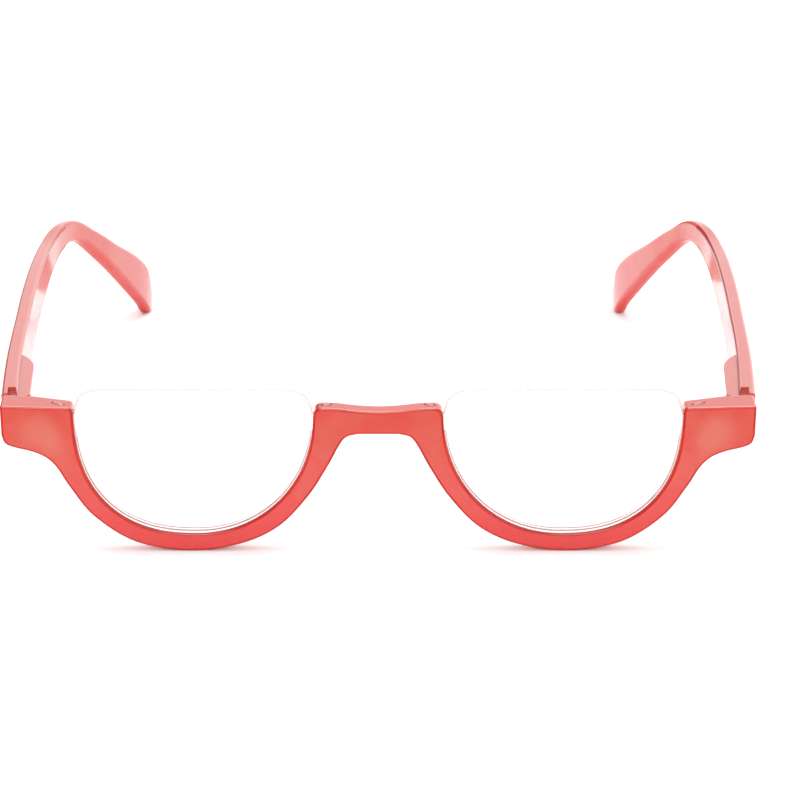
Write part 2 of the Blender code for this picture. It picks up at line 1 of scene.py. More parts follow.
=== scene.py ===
"""Looks of the folding half-moon reading glasses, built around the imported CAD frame.

Fine versions of the plastic front, the temples, the lenses, their nylon cords and the hinge springs stand
for the plain CAD nodes. The hinge's other metal parts are the CAD nodes themselves, with finished materials.
Sizes are in millimetres, in the front frame (X across, Y back from the front face, Z up along it) or in a
temple frame (Y back along the temple, Z along the hinge pin). Side +1 is the wearer's left.
Heights and reaches named in materials are in metres, and rises are the upward part of a surface's normal.
"""

import json
import math

import bmesh
import bpy
from mathutils import Matrix, Vector


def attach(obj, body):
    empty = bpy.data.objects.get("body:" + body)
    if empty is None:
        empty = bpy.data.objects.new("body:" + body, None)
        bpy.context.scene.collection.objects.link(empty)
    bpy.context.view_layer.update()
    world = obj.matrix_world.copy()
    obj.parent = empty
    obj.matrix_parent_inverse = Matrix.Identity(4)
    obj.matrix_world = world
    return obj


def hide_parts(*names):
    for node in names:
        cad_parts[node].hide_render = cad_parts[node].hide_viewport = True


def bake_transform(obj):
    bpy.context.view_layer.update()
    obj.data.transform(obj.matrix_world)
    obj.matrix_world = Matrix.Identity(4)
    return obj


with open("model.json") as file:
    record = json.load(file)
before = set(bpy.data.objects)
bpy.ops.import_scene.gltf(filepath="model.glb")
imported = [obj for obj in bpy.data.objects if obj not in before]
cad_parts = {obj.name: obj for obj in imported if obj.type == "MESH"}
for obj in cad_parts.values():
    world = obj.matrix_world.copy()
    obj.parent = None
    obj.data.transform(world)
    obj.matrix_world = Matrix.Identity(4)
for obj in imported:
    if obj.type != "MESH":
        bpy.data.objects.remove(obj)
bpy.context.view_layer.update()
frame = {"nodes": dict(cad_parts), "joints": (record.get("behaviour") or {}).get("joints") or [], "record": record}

MM = 0.001
WELD_DISTANCE = 0.002
FLAT_ANGLE = 0.001  # radians between faces that count as one flat face
ROUNDED_ANGLE = 40.0  # edges sharper than this many degrees are rounded
CREASE_ANGLE = 32.0  # and shading breaks at edges sharper than this
FACE_WEIGHT = 100  # large faces shade flat, and their bevels carry the turn
EDGE_SLOT = 1  # material of rounded edges, after the material of the faces
SIDES = {1: "left", -1: "right"}

# ---- front ----
MOUNT_HEIGHT = 25.0  # how far up the front face the endpiece mount points lie
RIM_THICKNESS = 2.7
ENDPIECE_THICKNESS = 4.7
EDGE_ROUNDING = 0.45
EDGE_SEGMENTS = 5
LENS_CENTRE_X = 32.6
OPENING_HALF_WIDTH = 21.1
OPENING_TOP = 27.05
OPENING_DEPTH = 23.5
OUTER_POWER = 2.38
INNER_POWER = 2.04
OPENING_STEPS = 36
CURVE_STEPS = 8
BRIDGE_TOP = [(-9.8, 28.95), (-7.3, 28.85), (-3.8, 28.4), (0, 28.2), (3.8, 28.4), (7.3, 28.85), (9.8, 28.95)]
BRIDGE_CORNER = [(9.8, 28.95), (10.5, 28.8), (11.0, 28.45), (11.3, 27.9)]
ENDPIECE_TOP = [(53.72, 27.9), (53.8, 28.45), (54.05, 28.82), (54.5, 29.0), (55.6, 29.04), (66.5, 29.35)]
UNDERSIDE = [
    (66.5, 23.4),
    (65.9, 21.8),
    (64.2, 21.0),
    (61.3, 20.2),
    (58.9, 19.0),
    (57.0, 16.9),
    (54.9, 13.0),
    (50.8, 7.0),
    (43.6, 1.8),
    (34.2, 0.0),
    (25.2, 1.25),
    (18.1, 4.8),
    (12.7, 10.9),
    (9.1, 17.0),
    (6.9, 21.4),
    (5.6, 23.1),
    (3.6, 23.7),
]
BACK_PROFILE = [  # (x, depth): the endpieces thicken outwards
    (48.0, 2.7),
    (50.0, 2.72),
    (52.5, 2.95),
    (56.0, 3.55),
    (59.5, 4.25),
    (62.0, 4.68),
    (64.0, 4.9),
]
BACK_PROFILE_STEPS = 4
BACK_PROFILE_END = 7.0
BACK_PROFILE_HEIGHTS = (-3, 35)
NOSE_PAD_CENTRE = (11.7, 15.2)
NOSE_PAD_SIZE = (1.8, 1.3, 5.2)
NOSE_PAD_TILT = 29.0
NOSE_PAD_SINK = 0.1
NOSE_PAD_SEGMENTS = (40, 24)
CORNER_STEPS = 3

# ---- lenses and cords ----
LENS_GAP = 0.12
LENS_BACK = 1.75
LENS_MIDDLE_THICKNESS = 2.05
LENS_FRONT_RADIUS = 333.0
LENS_BLANK_RADIUS = 27.0
LENS_CENTRE_Z = 18.0
LENS_RINGS = 12
LENS_SPOKES = 72
LENS_CUT_DEPTHS = (-4, 6)
CHAMFER_WIDTH = 0.16
LENS_EDGE_SLOPE = 0.5  # faces tilted further than this from the lens's axis belong to its ground edge
SAME_DEPTH = 0.01
POLISHED, GROUND, CHAMFERED = 0, 1, 2  # material slots of a lens
LENS_OUTER_CORNER = [(53.58, 27.05), (53.35, 28.9), (52.3, 30.9), (50.2, 31.85), (47.5, 32.0)]
LENS_INNER_CORNER = [(17.0, 32.0), (14.6, 31.75), (12.7, 30.5), (11.9, 28.8), (11.62, 27.05)]
GROOVE_DEPTH = 1.2
GROOVE_RADIUS = 0.34
LINER_RADIUS = 0.28
LINER_END_POINTS = 3  # points of the groove left free at each end of the liner
CORD_RADIUS = 0.22
CORD_ANCHOR_STEPS = 5
CORD_START = 2  # the cord begins this many points up its blind holes
CORD_CHANNEL_RADIUS = 0.42
CORD_CHANNEL_STEPS = 3
ENDPIECE_ANCHOR = [
    (57.3, 2.0, 27.6),
    (57.3, 2.0, 28.75),
    (56.9, 1.85, 29.1),
    (55.9, 1.45, 29.1),
    (55.45, 1.3, 28.75),
    (55.4, 1.2, 28.0),
    (55.0, 1.2, 27.35),
    (54.3, 1.2, 27.05),
    (53.75, 1.2, 27.3),
    (53.45, 1.2, 28.2),
]
BRIDGE_ANCHOR = [
    (8.4, 1.6, 27.6),
    (8.4, 1.6, 28.6),
    (8.75, 1.5, 28.95),
    (9.4, 1.35, 28.95),
    (9.8, 1.25, 28.6),
    (9.95, 1.2, 28.0),
    (10.3, 1.2, 27.35),
    (10.95, 1.2, 27.05),
    (11.5, 1.2, 27.35),
    (11.8, 1.2, 28.2),
]
ROUND_STEPS = 4
COARSE_ROUND_STEPS = 2

# ---- hinge pocket and spring, around the pin ----
LEAF_POCKET = [
    (-1.88, -3.38),
    (1.88, -3.38),
    (1.88, -2.52),
    (0.68, -2.52),
    (0.68, 0),
    (-0.68, 0),
    (-0.68, -2.52),
    (-1.88, -2.52),
]
LEAF_POCKET_HALF_HEIGHT = 2.53
SPRING_SPAN = (4.17, 11.83)
SPRING_MEAN_RADIUS = 0.65
SPRING_WIRE_RADIUS = 0.12
SPRING_TURNS = 8
SPRING_POINTS_PER_TURN = 24

# ---- temples ----
# Upper edge (y, z), lower edge (y, z), thickness at each edge, corner radius
TEMPLE_STATIONS = [
    ((-3.5, 4.0), (-3.5, -4.0), 3.1, 3.1, 0.6),
    ((16.0, 4.0), (16.0, -3.9), 2.8, 3.1, 0.6),
    ((28.0, 4.0), (28.0, -3.5), 2.65, 3.1, 0.6),
    ((44.0, 4.0), (44.0, -2.9), 2.65, 3.15, 0.6),
    ((62.0, 3.9), (62.0, -2.2), 2.6, 3.15, 0.6),
    ((77.0, 3.6), (76.5, -1.4), 2.5, 3.0, 0.65),
    ((86.0, 3.9), (84.0, -0.7), 2.45, 2.8, 0.8),
    ((91.9, 2.6), (89.0, -0.9), 2.5, 2.7, 0.95),
    ((97.7, -1.6), (93.8, -3.2), 2.6, 2.7, 1.05),
    ((105.5, -7.5), (100.9, -10.1), 2.6, 2.6, 1.1),
    ((113.3, -12.75), (108.9, -18.1), 2.5, 2.5, 1.1),
    ((119.2, -17.7), (116.7, -25.7), 2.4, 2.4, 1.05),
    ((121.5, -21.8), (119.6, -28.75), 2.4, 2.4, 1.0),
    ((122.4, -24.0), (121.7, -29.1), 2.4, 2.4, 1.0),
]
TEMPLE_OUTER_FACE = [  # (y, x)
    (-4, 3.75),
    (8, 3.98),
    (17, 4.0),
    (27, 3.8),
    (37, 3.5),
    (47, 3.25),
    (58, 2.75),
    (69, 2.0),
    (75, 1.35),
    (81, 0.35),
    (86, -1.1),
    (91, -3.0),
    (96, -5.6),
    (103, -9.4),
    (111, -13.1),
    (119, -16.3),
    (124, -17.3),
]
TEMPLE_CORNER_STEPS = 6
TEMPLE_LEAST_FLAT = 0.05  # what a corner radius leaves flat of half the thickness
SLOPE_STEP = 0.5
STATION_STEPS = 7
CRISP_STATIONS = 6  # stations, from the front, whose corners read as edges
TIP_STEPS = 4
TIP_ROUNDING = 0.5
HOUSING_Z = (-2.9, 3.4)
HOUSING_INNER_X = -1.25
HOUSING_REAR = [(-1.25, 11.5), (-1.05, 13.8), (-0.2, 15.9), (1.0, 17.7), (2.6, 18.4)]
HOUSING_REAR_STEPS = 6
HOUSING_FRONT = [(0.2, -3.4), (2.6, -3.4)]
HOUSING_CORNER_RADIUS = 1.6
HOUSING_CORNER_STEPS = 8
HOUSING_ROUNDING = 0.35
NICHE_X = (-4.0, 1.45)
NICHE_Y = (-4.5, 1.55)
NICHE_Z = (-6.0, 2.65)
BORE_RADIUS = 0.9
BORE_Y = (1.0, 14.5)
BORE_SEGMENTS = 32
NOTCH = [(0.9, -3.5), (2.7, -3.5), (2.7, 1.1), (1.35, 1.1), (0.9, -2.0)]
NOTCH_DEPTH = 1.1
NOTCH_CUT_RISE = 2.0
END_GAP = 0.3
END_RELIEF = [(64.6, 0.0), (70.0, 0.95)]  # (x, extra gap)
END_TRIM_X = (50, 70)
END_TRIM_FRONT = -8
END_TRIM_HEIGHTS = (10, 42)

# ---- looks: plastic ----
# painted shade: the deep tone near edges, in thin sections, low down and underneath
DEEP_SHADED_CORAL = (0.6, 0.034, 0.023, 1)
PALE_CORAL = (0.61, 0.13, 0.09, 1)
# painted shade: the deeper tone of rounded edges
SHADED_EDGE_CORAL = (0.47, 0.025, 0.018, 1)
EDGE_SHADE = (0.28, 0.046, 0.043, 1)
# painted shade: the dark line just under the bright top edge
CREASE_SHADE_CORAL = (0.36, 0.018, 0.012, 1)
# painted highlight: the bright line along top edges
PAINTED_HIGHLIGHT_CORAL = (0.6, 0.11, 0.08, 1)
# painted light: the tone that upward faces take for how the light falls on them
TOP_LIT_CORAL = (0.465, 0.06, 0.045, 1)
# painted shade: the darkest tone, low down near the table
LOW_SHADED_CORAL = (0.6, 0.008, 0.004, 1)
LOW_FADE = (0.003, 0.014)  # heights between which the painted shade near the table leaves its lowest tone
DEPTH_REACH = 0.004  # how far inside the plastic nearby surfaces are looked for
DEPTH_RANGE = (0.5, 1.0)
DEPTH_SAMPLES = 8
HEIGHT_FADE = (0.002, 0.022)  # heights between which the plastic turns from deeper to paler: painted shade low down
HEIGHT_DEPTHS = (-0.4, 0.5)
CLOUD_SCALE = 220
CLOUD_DEPTHS = (-0.12, 0.12)
UNDERSIDE_RISE = (-0.7, 0.2)  # rises below which the plastic stays deep: painted shade on downward faces
# rises over which upward faces take the painted top tone, and how far
TOP_RISE = (0.55, 0.9)
TOP_SHARE = 0.85
COAT_RISE = (-0.9, -0.15)
COAT_WEIGHTS = (0.4, 1.0)
GLOSS_LEVELS = (0.2, 0.5)
SMEAR_SCALE = 260
SMEAR_ROUGHNESS = (0.16, 0.26)
RIPPLE_SCALE = 120
RIPPLE_STRENGTH = 0.06
RIPPLE_HEIGHT = 0.00025

# ---- looks: rounded edges of the plastic, with painted shade and highlights ----
OUTLINE_FACING = (0.15, 0.75)  # how far an edge turns from the eye as its painted dark outline comes in
OUTLINE_RISE = (0.35, 0.0)
# rises over which edges turn to the painted dark line
CREASE_SHADE_RISE = (0.12, 0.27)
# where the painted highlight lies: rises and heights above the table
HIGHLIGHT_RISE = (0.55, 0.8)
HIGHLIGHT_HEIGHT = (0.016, 0.022)
HIGHLIGHT_SIDE = (-0.5, -0.15)  # edges turned to the left get no painted highlight
GLEAM_RISE = (0.0, 0.4)

# ---- looks: lenses, nylon and steel ----
WHITE = (1, 1, 1, 1)
LENS_TINT = (0.992, 0.99, 0.99, 1)
LENS_REFLECTION = 0.6
LENS_SMEAR_SCALE = 60
LENS_ROUGHNESS = (0.01, 0.03)
CHAMFER_FADE = (0.018, 0.027)  # heights between which the lens's ground edge and chamfer turn clear
GROUND_ALPHA = (0.85, 0.15)
# painted light: the ground edge glows though it is no lamp
GROUND_PAINTED_GLOW = 0.3
GROUND_PAINTED_GLOW_COLOUR = (1, 0.97, 0.96, 1)
GROUND_GREYS = (0.9, 0.97)
GRIT_SCALE = 4000
CHAMFER_ALPHA = (0.8, 0.1)
# painted shade: the chamfer's thin dark line in the rim
CHAMFER_SHADE_COLOURS = [(0.25, 0.13, 0.13, 1), (0.34, 0.18, 0.18, 1)]
NYLON_ALPHA = 0.38
# painted pink on the clear nylon, for the coral's light seen through it
NYLON_PAINTED_PINKS = [(0.86, 0.5, 0.46, 1), (0.94, 0.6, 0.56, 1)]
NYLON_SCALE = 1500
STEEL_COLOURS = [(0.5, 0.48, 0.46, 1), (0.68, 0.66, 0.64, 1)]
STEEL_ROUGHNESS = (0.2, 0.38)
FINE_SCALE = 3000
NOISE_SPAN = (0.3, 0.7)  # where most of the noise lies

# ---- room ----
TABLE_SIZE = 6.0
TABLE_CLOUD_SCALE = 3
TABLE_GREYS = (0.9, 0.91)
TABLE_FADE = (-0.11, -0.07)
TABLE_SHADE = 0.2
LEFT_FLAG = (-0.36, -0.12)
LEFT_TO_RIGHT = (0.2, 1.25)
FRONT_FLAG = (-0.15, 0.05)
FRONT_TO_BACK = (0.5, 1.0)
ROOM_LIGHT = 1.1
BACKDROP_LIGHT = 1.1
ROOM_TINT = (1.0, 0.995, 0.99, 1)
# Name, place, target, width in metres, watts
LAMPS = [
    ("overhead", (0.1, -0.1, 1.2), (0, 0, 0), 0.7, 5),
    ("front fill", (-0.2, -1.4, 0.7), (0, -0.05, 0.02), 0.9, 6),
]

# ---- camera ----
CAMERA_PLACE = (3.84, -573.5, 230.5)
CAMERA_DIP = 21.5
CAMERA_LENS = 140.1
SENSOR_WIDTH = 36.0


# ---------------------------------------------------------------- frames


def front_matrix():
    """The front frame, from an endpiece's mount on the front face."""
    mount = frame["record"]["mounts"][0]
    back = -Vector(mount["axis"])
    up = Vector((0, -back.z, back.y))
    origin = Vector(mount["pos_m"]) - up * MOUNT_HEIGHT * MM
    matrix = Matrix((Vector((1, 0, 0)), back, up)).transposed().to_4x4()
    matrix.translation = (0, origin.y, origin.z)
    return matrix


def hinge_matrices(side, label):
    """The hinge frame and the temple frame of one side, from that side's joints."""
    joints = {joint["name"]: joint for joint in frame["joints"]}
    fold, slide = joints[f"temple_fold_{label}"], joints[f"spring_slide_{label}"]
    pin = Vector(fold["axis"]) * side
    rise = math.atan2(-pin.y, pin.z)
    hinge = Matrix.Translation(fold["pos_m"]) @ Matrix.Rotation(rise, 4, "X")
    along = hinge.to_3x3().transposed() @ Vector(slide["axis"])
    splay = math.atan2(along.x, along.y)
    return hinge, hinge @ Matrix.Rotation(-splay, 4, "Z")


# ---------------------------------------------------------------- meshes


def smooth_path(knots, steps):
    """Catmull-Rom curve through the knots, with this many points for each span."""
    points = [Vector(knot) for knot in knots]
    padded = [points[0] * 2 - points[1], *points, points[-1] * 2 - points[-2]]
    path = []
    for a, b, c, d in zip(padded, padded[1:], padded[2:], padded[3:]):
        square, cube = 2 * a - 5 * b + 4 * c - d, 3 * b - a - 3 * c + d
        for step in range(steps):
            t = step / steps
            path.append(0.5 * (2 * b + (c - a) * t + square * t**2 + cube * t**3))
    return [tuple(point) for point in path + [points[-1]]]


def mesh_of_curve(curve, flat=False):
    """The curve's closed skin, welded; faces lying flat together are merged if asked."""
    holder = bpy.data.objects.new("curve", curve)
    bpy.context.scene.collection.objects.link(holder)
    evaluated = holder.evaluated_get(bpy.context.evaluated_depsgraph_get())
    mesh = bpy.data.meshes.new_from_object(evaluated)
    welded = bmesh.new()
    welded.from_mesh(mesh)
    bmesh.ops.remove_doubles(welded, verts=welded.verts, dist=WELD_DISTANCE * MM)
    if flat:
        bmesh.ops.dissolve_limit(welded, angle_limit=FLAT_ANGLE, verts=welded.verts, edges=welded.edges)
    bmesh.ops.recalc_face_normals(welded, faces=welded.faces)
    welded.to_mesh(mesh)
    welded.free()
    bpy.data.objects.remove(holder)
    bpy.data.curves.remove(curve)
    return mesh


def fill_spline(curve, points, closed):
    """A straight-sided spline through points in millimetres."""
    spline = curve.splines.new("POLY")
    spline.points.add(len(points) - 1)
    for target, point in zip(spline.points, points):
        target.co = (*(Vector(point).to_3d() * MM), 1.0)
    spline.use_cyclic_u = closed


def plate_mesh(outline, low, high, upright=False):
    """A flat outline with thickness: in XY between two heights, or upright in XZ between two depths."""
    curve = bpy.data.curves.new("outline", "CURVE")
    curve.dimensions = "2D"
    curve.fill_mode = "BOTH"
    curve.extrude = (high - low) / 2 * MM
    fill_spline(curve, outline, closed=True)
    mesh = mesh_of_curve(curve, flat=True)
    middle = (low + high) / 2 * MM
    if upright:
        mesh.transform(Matrix.Translation((0, middle, 0)) @ Matrix.Rotation(math.pi / 2, 4, "X"))
    else:
        mesh.transform(Matrix.Translation((0, 0, middle)))
    return mesh


def tube_mesh(points, radius, closed=False, resolution=ROUND_STEPS):
    """A round cord along the points."""
    curve = bpy.data.curves.new("tube", "CURVE")
    curve.dimensions = "3D"
    curve.bevel_depth = radius * MM
    curve.bevel_resolution = resolution
    curve.use_fill_caps = True
    fill_spline(curve, points, closed)
    return mesh_of_curve(curve)


def to_mesh(solid):
    """The finished mesh, facing outwards."""
    mesh = bpy.data.meshes.new("solid")
    bmesh.ops.recalc_face_normals(solid, faces=solid.faces)
    solid.to_mesh(mesh)
    solid.free()
    return mesh


def box_mesh(x_span, y_span, z_span):
    """A box between two values on each axis."""
    spans = (x_span, y_span, z_span)
    solid = bmesh.new()
    bmesh.ops.create_cube(solid, size=1.0)
    size = Matrix.Diagonal([(high - low) * MM for low, high in spans]).to_4x4()
    middle = Matrix.Translation([(low + high) / 2 * MM for low, high in spans])
    bmesh.ops.transform(solid, matrix=middle @ size, verts=solid.verts)
    return to_mesh(solid)


def bore_mesh(radius, low, high):
    """A cylinder along Y."""
    solid = bmesh.new()
    size = {"radius1": radius * MM, "radius2": radius * MM, "depth": (high - low) * MM}
    bmesh.ops.create_cone(solid, cap_ends=True, segments=BORE_SEGMENTS, **size)
    place = Matrix.Translation((0, (low + high) / 2 * MM, 0)) @ Matrix.Rotation(math.pi / 2, 4, "X")
    bmesh.ops.transform(solid, matrix=place, verts=solid.verts)
    return to_mesh(solid)


def loft_mesh(rings, corner_points, crisp_rings):
    """Skin over rings of equal point counts, closed at each end; corners of the first rings are edges."""
    solid = bmesh.new()
    loops = [[solid.verts.new(Vector(point) * MM) for point in ring] for ring in rings]
    for number, (here, after) in enumerate(zip(loops, loops[1:])):
        for index in range(len(here)):
            following = (index + 1) % len(here)
            face = solid.faces.new((here[index], here[following], after[following], after[index]))
            crisp = following % corner_points and number < crisp_rings
            face.material_index = EDGE_SLOT if crisp else 0
    solid.faces.new(loops[0])
    solid.faces.new(loops[-1])
    return to_mesh(solid)


def shape(mesh, cuts, rounding=0.0, segments=4, clamped=True):
    """The mesh, rounded, and cut or joined with others: (operation, mesh, whether after the rounding)."""
    base = bpy.data.objects.new("base", mesh)
    bpy.context.scene.collection.objects.link(base)
    for stand_in in ("face", "edge"):
        mesh.materials.append(bpy.data.materials.new(stand_in))
    helpers = []
    for number, (operation, other, late) in enumerate(cuts):
        if late and rounding:
            add_bevel(base, rounding, segments, clamped)
            rounding = 0
        helper = bpy.data.objects.new(f"helper {number}", other)
        bpy.context.scene.collection.objects.link(helper)
        helpers.append(helper)
        modifier = base.modifiers.new("cut", "BOOLEAN")
        modifier.operation = operation
        modifier.object = helper
    if rounding:
        add_bevel(base, rounding, segments, clamped)
    evaluated = base.evaluated_get(bpy.context.evaluated_depsgraph_get())
    result = bpy.data.meshes.new_from_object(evaluated)
    for helper in helpers + [base]:
        bpy.data.objects.remove(helper)
    return result


def add_bevel(target, width, segments, clamped):
    """Round the target's sharp edges, and give them the edge material."""
    modifier = target.modifiers.new("rounding", "BEVEL")
    modifier.width = width * MM
    modifier.segments = segments
    modifier.limit_method = "ANGLE"
    modifier.angle_limit = math.radians(ROUNDED_ANGLE)
    modifier.use_clamp_overlap = clamped
    modifier.material = EDGE_SLOT


def without_slivers(mesh):
    """The mesh with points that nearly coincide welded, and the slivers between them gone."""
    solid = bmesh.new()
    solid.from_mesh(mesh)
    bmesh.ops.remove_doubles(solid, verts=solid.verts, dist=WELD_DISTANCE * MM)
    bmesh.ops.dissolve_degenerate(solid, edges=solid.edges, dist=WELD_DISTANCE * MM)
    return to_mesh(solid)


def mirrored(points, side):
    """The points on the given side."""
    return [(point[0] * side, *point[1:]) for point in points]


def interpolate(knots, at):
    """Smooth value at a position, from (position, value) knots in rising order."""
    last = len(knots) - 1
    index = max(i for i in range(last) if knots[i][0] <= at or i == 0)
    (y1, x1), (y2, x2) = knots[index], knots[index + 1]
    y0, x0 = knots[max(index - 1, 0)]
    y3, x3 = knots[min(index + 2, last)]
    slope1, slope2 = (x2 - x0) / (y2 - y0), (x3 - x1) / (y3 - y1)
    span = y2 - y1
    t = min(max((at - y1) / span, 0), 1)
    blend1, blend2 = (1 + 2 * t) * (1 - t) ** 2, t * t * (3 - 2 * t)
    value = blend1 * x1 + blend2 * x2 + span * (t * (1 - t) ** 2 * slope1 - t * t * (1 - t) * slope2)
    beyond = at - y2 if at > y2 else min(at - y1, 0)
    return value + beyond * (slope2 if at > y2 else slope1)


def add_piece(name, mesh, matrix, body, materials, stands_for):
    """A shown piece: placed in the world, shaded smooth, riding on its body if it has one."""
    mesh.transform(matrix)
    indices = [min(polygon.material_index, len(materials) - 1) for polygon in mesh.polygons]
    mesh.materials.clear()
    for material in materials:
        mesh.materials.append(material)
    mesh.polygons.foreach_set("material_index", indices)
    mesh.shade_smooth()
    mesh.set_sharp_from_angle(angle=math.radians(CREASE_ANGLE))
    piece = bpy.data.objects.new(name, mesh)
    bpy.context.scene.collection.objects.link(piece)
    normals = piece.modifiers.new("even shading", "WEIGHTED_NORMAL")
    normals.keep_sharp = True
    normals.weight = FACE_WEIGHT
    if body:
        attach(piece, body)
    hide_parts(stands_for)
    return piece


# ---------------------------------------------------------------- outlines


def half_moon(inset=0.0):
    """The opening's lower edge, from the top of the bridge side round the bottom to the endpiece side."""
    width, depth = OPENING_HALF_WIDTH - inset, OPENING_DEPTH - inset
    points = []
    inner_steps = range(OPENING_STEPS + 1)
    outer_steps = range(OPENING_STEPS - 1, -1, -1)
    for side, power, steps in ((-1, INNER_POWER, inner_steps), (1, OUTER_POWER, outer_steps)):
        for step in steps:
            angle = step / OPENING_STEPS * math.pi / 2
            across = width * max(math.cos(angle), 0) ** (2 / power)
            down = depth * math.sin(angle) ** (2 / power)
            points.append((LENS_CENTRE_X + side * across, OPENING_TOP - down))
    return points


def front_outline():
    """Half of the front from the top of the bridge outwards and back below it, and its mirror image."""
    corner = smooth_path(BRIDGE_CORNER, CORNER_STEPS)[1:]
    half = corner + half_moon() + ENDPIECE_TOP + smooth_path(UNDERSIDE, CURVE_STEPS)
    return smooth_path(BRIDGE_TOP, CURVE_STEPS) + half + mirrored(half[::-1], -1)


def lens_outline():
    """The lens: the rim's half moon, and the open top above it."""
    outer = smooth_path(LENS_OUTER_CORNER, CURVE_STEPS)
    inner = smooth_path(LENS_INNER_CORNER, CURVE_STEPS)
    return half_moon(LENS_GAP) + outer[1:] + inner[:-1]


def at_groove(points, side):
    return [(x * side, GROOVE_DEPTH, z) for x, z in points]


# ---------------------------------------------------------------- pieces


def make_front(materials):
    """The front: a rounded plate, thinned behind the rims, with pads, lens grooves and holes."""
    back = smooth_path(BACK_PROFILE, BACK_PROFILE_STEPS) + [(BACK_PROFILE[-1][0], BACK_PROFILE_END)]
    relief = plate_mesh(mirrored(back[::-1], -1) + back, *BACK_PROFILE_HEIGHTS)
    cuts = [("DIFFERENCE", relief, False)]
    for side, label in SIDES.items():
        cuts.append(("UNION", nose_pad_mesh(side), True))
        cuts.append(("DIFFERENCE", tube_mesh(at_groove(half_moon(LENS_GAP), side), GROOVE_RADIUS), True))
        for knots in (ENDPIECE_ANCHOR, BRIDGE_ANCHOR):
            route = smooth_path(mirrored(knots, side), CORD_CHANNEL_STEPS)
            channel = tube_mesh(route, CORD_CHANNEL_RADIUS, resolution=COARSE_ROUND_STEPS)
            channel.polygons.foreach_set("material_index", [EDGE_SLOT] * len(channel.polygons))
            cuts.append(("DIFFERENCE", channel, True))
        hinge, _ = hinge_matrices(side, label)
        pocket = plate_mesh(LEAF_POCKET, -LEAF_POCKET_HALF_HEIGHT, LEAF_POCKET_HALF_HEIGHT)
        pocket.transform(front_matrix().inverted() @ hinge)
        cuts.append(("DIFFERENCE", pocket, True))
    solid = plate_mesh(front_outline(), 0, ENDPIECE_THICKNESS, upright=True)
    mesh = shape(solid, cuts, EDGE_ROUNDING, EDGE_SEGMENTS, clamped=False)
    add_piece("front_shell", mesh, front_matrix(), "front", materials, "front_frame")


def nose_pad_mesh(side):
    """A long, low swelling behind the rim's inner side."""
    solid = bmesh.new()
    around, along = NOSE_PAD_SEGMENTS
    bmesh.ops.create_uvsphere(solid, u_segments=around, v_segments=along, radius=MM)
    size = Matrix.Diagonal(NOSE_PAD_SIZE).to_4x4()
    tilt = Matrix.Rotation(math.radians(-NOSE_PAD_TILT * side), 4, "Y")
    x, z = NOSE_PAD_CENTRE
    place = Matrix.Translation(Vector((x * side, RIM_THICKNESS - NOSE_PAD_SINK, z)) * MM)
    bmesh.ops.transform(solid, matrix=place @ tilt @ size, verts=solid.verts)
    return to_mesh(solid)


def lens_blank_mesh(side):
    """A round lens blank with a flat back and a gently curved front."""
    solid = bmesh.new()
    front = LENS_BACK - LENS_MIDDLE_THICKNESS
    loops = []
    for ring in range(1, LENS_RINGS + 1):
        radius = LENS_BLANK_RADIUS * ring / LENS_RINGS
        loops.append(circle(solid, radius, front + radius * radius / (2 * LENS_FRONT_RADIUS)))
    loops.append(circle(solid, LENS_BLANK_RADIUS, LENS_BACK))
    centre = solid.verts.new(Vector((0, front, 0)) * MM)
    followers = [(index + 1) % LENS_SPOKES for index in range(LENS_SPOKES)]
    for index, following in enumerate(followers):
        solid.faces.new((centre, loops[0][index], loops[0][following]))
    for here, after in zip(loops, loops[1:]):
        for index, following in enumerate(followers):
            solid.faces.new((here[index], here[following], after[following], after[index]))
    solid.faces.new(loops[-1])
    blank = to_mesh(solid)
    blank.transform(Matrix.Translation(Vector((LENS_CENTRE_X * side, 0, LENS_CENTRE_Z)) * MM))
    return blank


def circle(solid, radius, depth):
    """Points of a circle about the Y axis, at this depth."""
    angles = [2 * math.pi * index / LENS_SPOKES for index in range(LENS_SPOKES)]
    return [solid.verts.new(Vector((radius * math.cos(a), depth, radius * math.sin(a))) * MM) for a in angles]


def make_lens(side, label, materials):
    """A lens cut from its blank, grooved all round for the cord and the liner."""
    outline = lens_outline()
    edge = plate_mesh(mirrored(outline, side), *LENS_CUT_DEPTHS, upright=True)
    groove = tube_mesh(at_groove(outline, side), GROOVE_RADIUS, closed=True, resolution=COARSE_ROUND_STEPS)
    cuts = [("INTERSECT", edge, False), ("DIFFERENCE", groove, False)]
    mesh = without_slivers(shape(lens_blank_mesh(side), cuts))
    mark_lens_faces(mesh)
    mesh = chamfer_rims(mesh)
    add_piece(f"clear_lens_{label}", mesh, front_matrix(), "front", materials, f"lens_{label}")


def mark_lens_faces(mesh):
    """Tell the polished faces from the ground edge."""
    for polygon in mesh.polygons:
        polygon.material_index = POLISHED if abs(polygon.normal.y) > LENS_EDGE_SLOPE else GROUND


def chamfer_rims(mesh):
    """The lens with its outline chamfered front and back. The front one is plain ground edge in the rim."""
    solid = bmesh.new()
    solid.from_mesh(mesh)
    rims = [edge for edge in solid.edges if is_rim(edge)]
    chamfer = bmesh.ops.bevel(solid, geom=rims, offset=CHAMFER_WIDTH * MM, segments=1, affect="EDGES")
    for face in chamfer["faces"]:
        middle = face.calc_center_median()
        hidden = middle.y < GROOVE_DEPTH * MM and middle.z < OPENING_TOP * MM
        face.material_index = GROUND if hidden else CHAMFERED
    return without_slivers(to_mesh(solid))


def is_rim(edge):
    """True where a polished face meets the lens's outline, away from the cord's groove."""
    depths = [vert.co.y / MM for vert in edge.verts]
    clear_of_groove = max(depths) < GROOVE_DEPTH - GROOVE_RADIUS or min(depths) > LENS_BACK - SAME_DEPTH
    slopes = [abs(face.normal.y) > LENS_EDGE_SLOPE for face in edge.link_faces]
    return clear_of_groove and slopes.count(True) == 1


